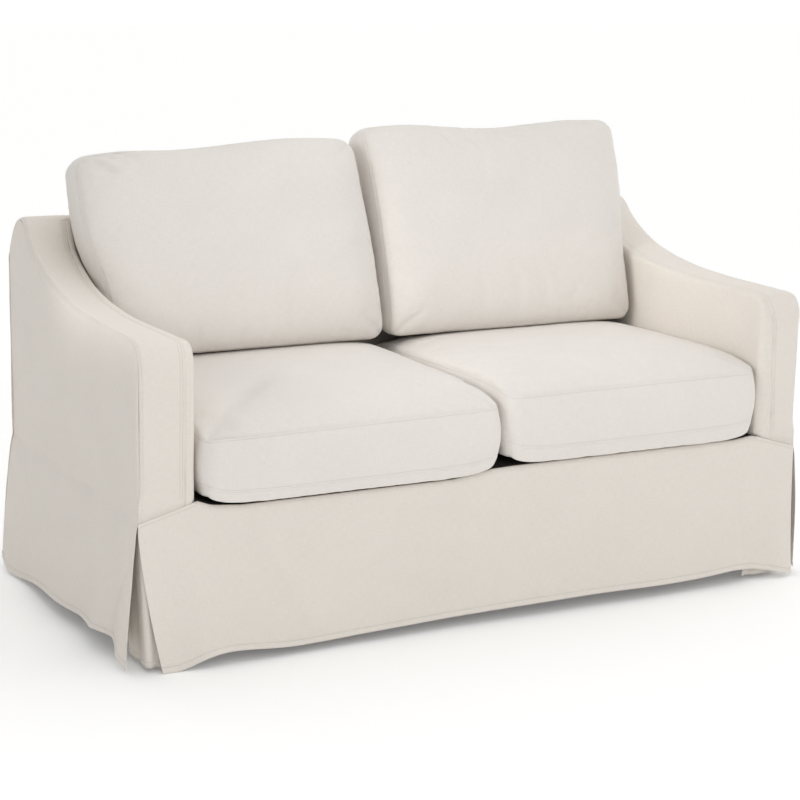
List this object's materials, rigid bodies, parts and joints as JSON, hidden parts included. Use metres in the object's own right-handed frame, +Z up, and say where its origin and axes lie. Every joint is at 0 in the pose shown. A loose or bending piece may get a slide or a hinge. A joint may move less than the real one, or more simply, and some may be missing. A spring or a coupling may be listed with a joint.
{
  "type": "fitted two-seat sofa slipcover with cushions",
  "caption": "Ivory fitted slipcover for a small sofa, hollow underneath, with sloped arms, a skirt to the floor with corner pleats, and loose filled seat and back cushions.",
  "frame": {"origin": "centre of the bounding box in plan, at the lowest point of the skirt's hem", "axes": "+X along the back, to the right as seen from the front; +Y from the front to the back; +Z up"},
  "size_m": [1.6022, 0.805, 0.9568],
  "materials": {
    "cover_cloth": "ivory plain weave, matt",
    "cushion_cloth": "ivory plain weave, matt, over a soft filling",
    "deck_cloth": "black decking cloth, matt"
  },
  "bodies": {
    "root": {"side_left": "cover_cloth", "side_right": "cover_cloth", "band_left": "cover_cloth", "band_right": "cover_cloth", "inner_left": "cover_cloth", "inner_right": "cover_cloth", "inside_back": "cover_cloth", "outside_back": "cover_cloth", "front_skirt": "cover_cloth", "deck": "deck_cloth", "pleat_front_left": "cover_cloth", "pleat_front_right": "cover_cloth", "pleat_back_left": "cover_cloth", "pleat_back_right": "cover_cloth", "seat_left": "cushion_cloth", "seat_right": "cushion_cloth", "back_left": "cushion_cloth", "back_right": "cushion_cloth"}
  },
  "joints": []
}
